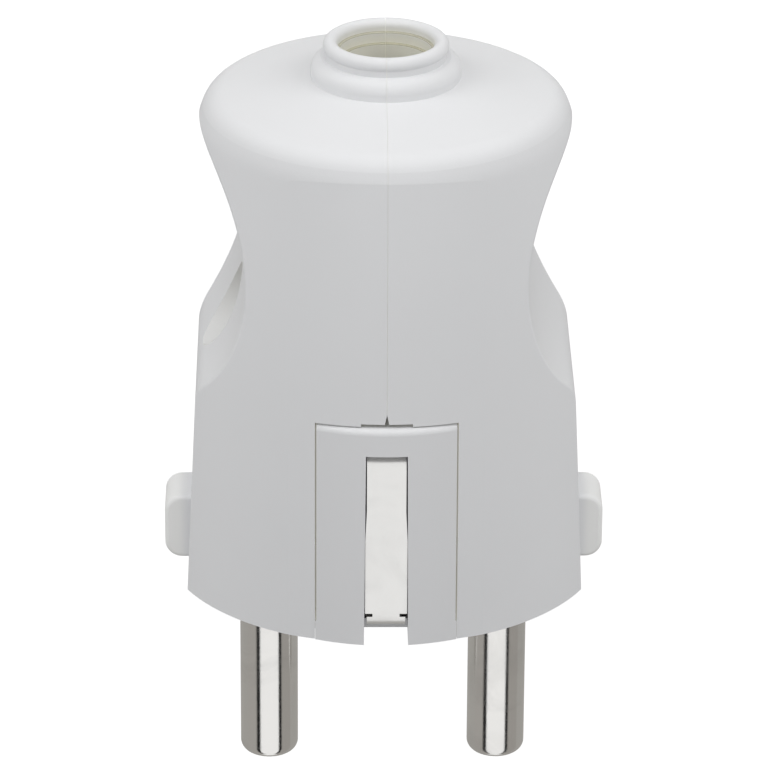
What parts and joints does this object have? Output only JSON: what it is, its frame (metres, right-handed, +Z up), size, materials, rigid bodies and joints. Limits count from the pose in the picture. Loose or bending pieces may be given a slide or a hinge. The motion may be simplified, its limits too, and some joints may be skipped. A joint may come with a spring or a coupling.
{
  "type": "earthed mains plug",
  "caption": "Rewirable earthed mains plug with thick round pins, side earth contacts, finger scoops and a collared cord inlet in the end.",
  "frame": {"origin": "bottom centre of the bounding box of the plug as it lies on its back", "axes": "+Y towards the cord inlet, with the pins towards -Y; +X from the left pin to the right pin; +Z up, out of the front earth contact. The plug's own axis dips 3.07 degrees towards the cord end"},
  "size_m": [0.036, 0.0642, 0.0367],
  "materials": {
    "housing_plastic": "fine matt moulded white thermoplastic",
    "carrier_plastic": "fine matt moulded white thermoplastic",
    "nickel_plated_pin": "nickel-plated brass, satin turned",
    "tinned_strip": "nickel-plated brass strip, soft sheen",
    "plain_brass": "plain brass",
    "zinc_steel": "bright zinc-plated steel"
  },
  "bodies": {
    "root": {"left_shell": "housing_plastic", "right_shell": "housing_plastic", "pin_carrier": "carrier_plastic", "left_pin": "nickel_plated_pin", "right_pin": "nickel_plated_pin", "front_earth_contact": "tinned_strip", "back_earth_contact": "tinned_strip", "earth_bridge": "plain_brass", "front_earth_rivet": "plain_brass", "back_earth_rivet": "plain_brass", "earth_clamp_washer": "zinc_steel", "earth_terminal_screw": "zinc_steel", "left_terminal_screw": "zinc_steel", "right_terminal_screw": "zinc_steel", "cord_clamp_bar": "carrier_plastic", "front_clamp_screw": "zinc_steel", "back_clamp_screw": "zinc_steel", "housing_screw": "zinc_steel", "housing_nut": "zinc_steel"}
  },
  "joints": []
}
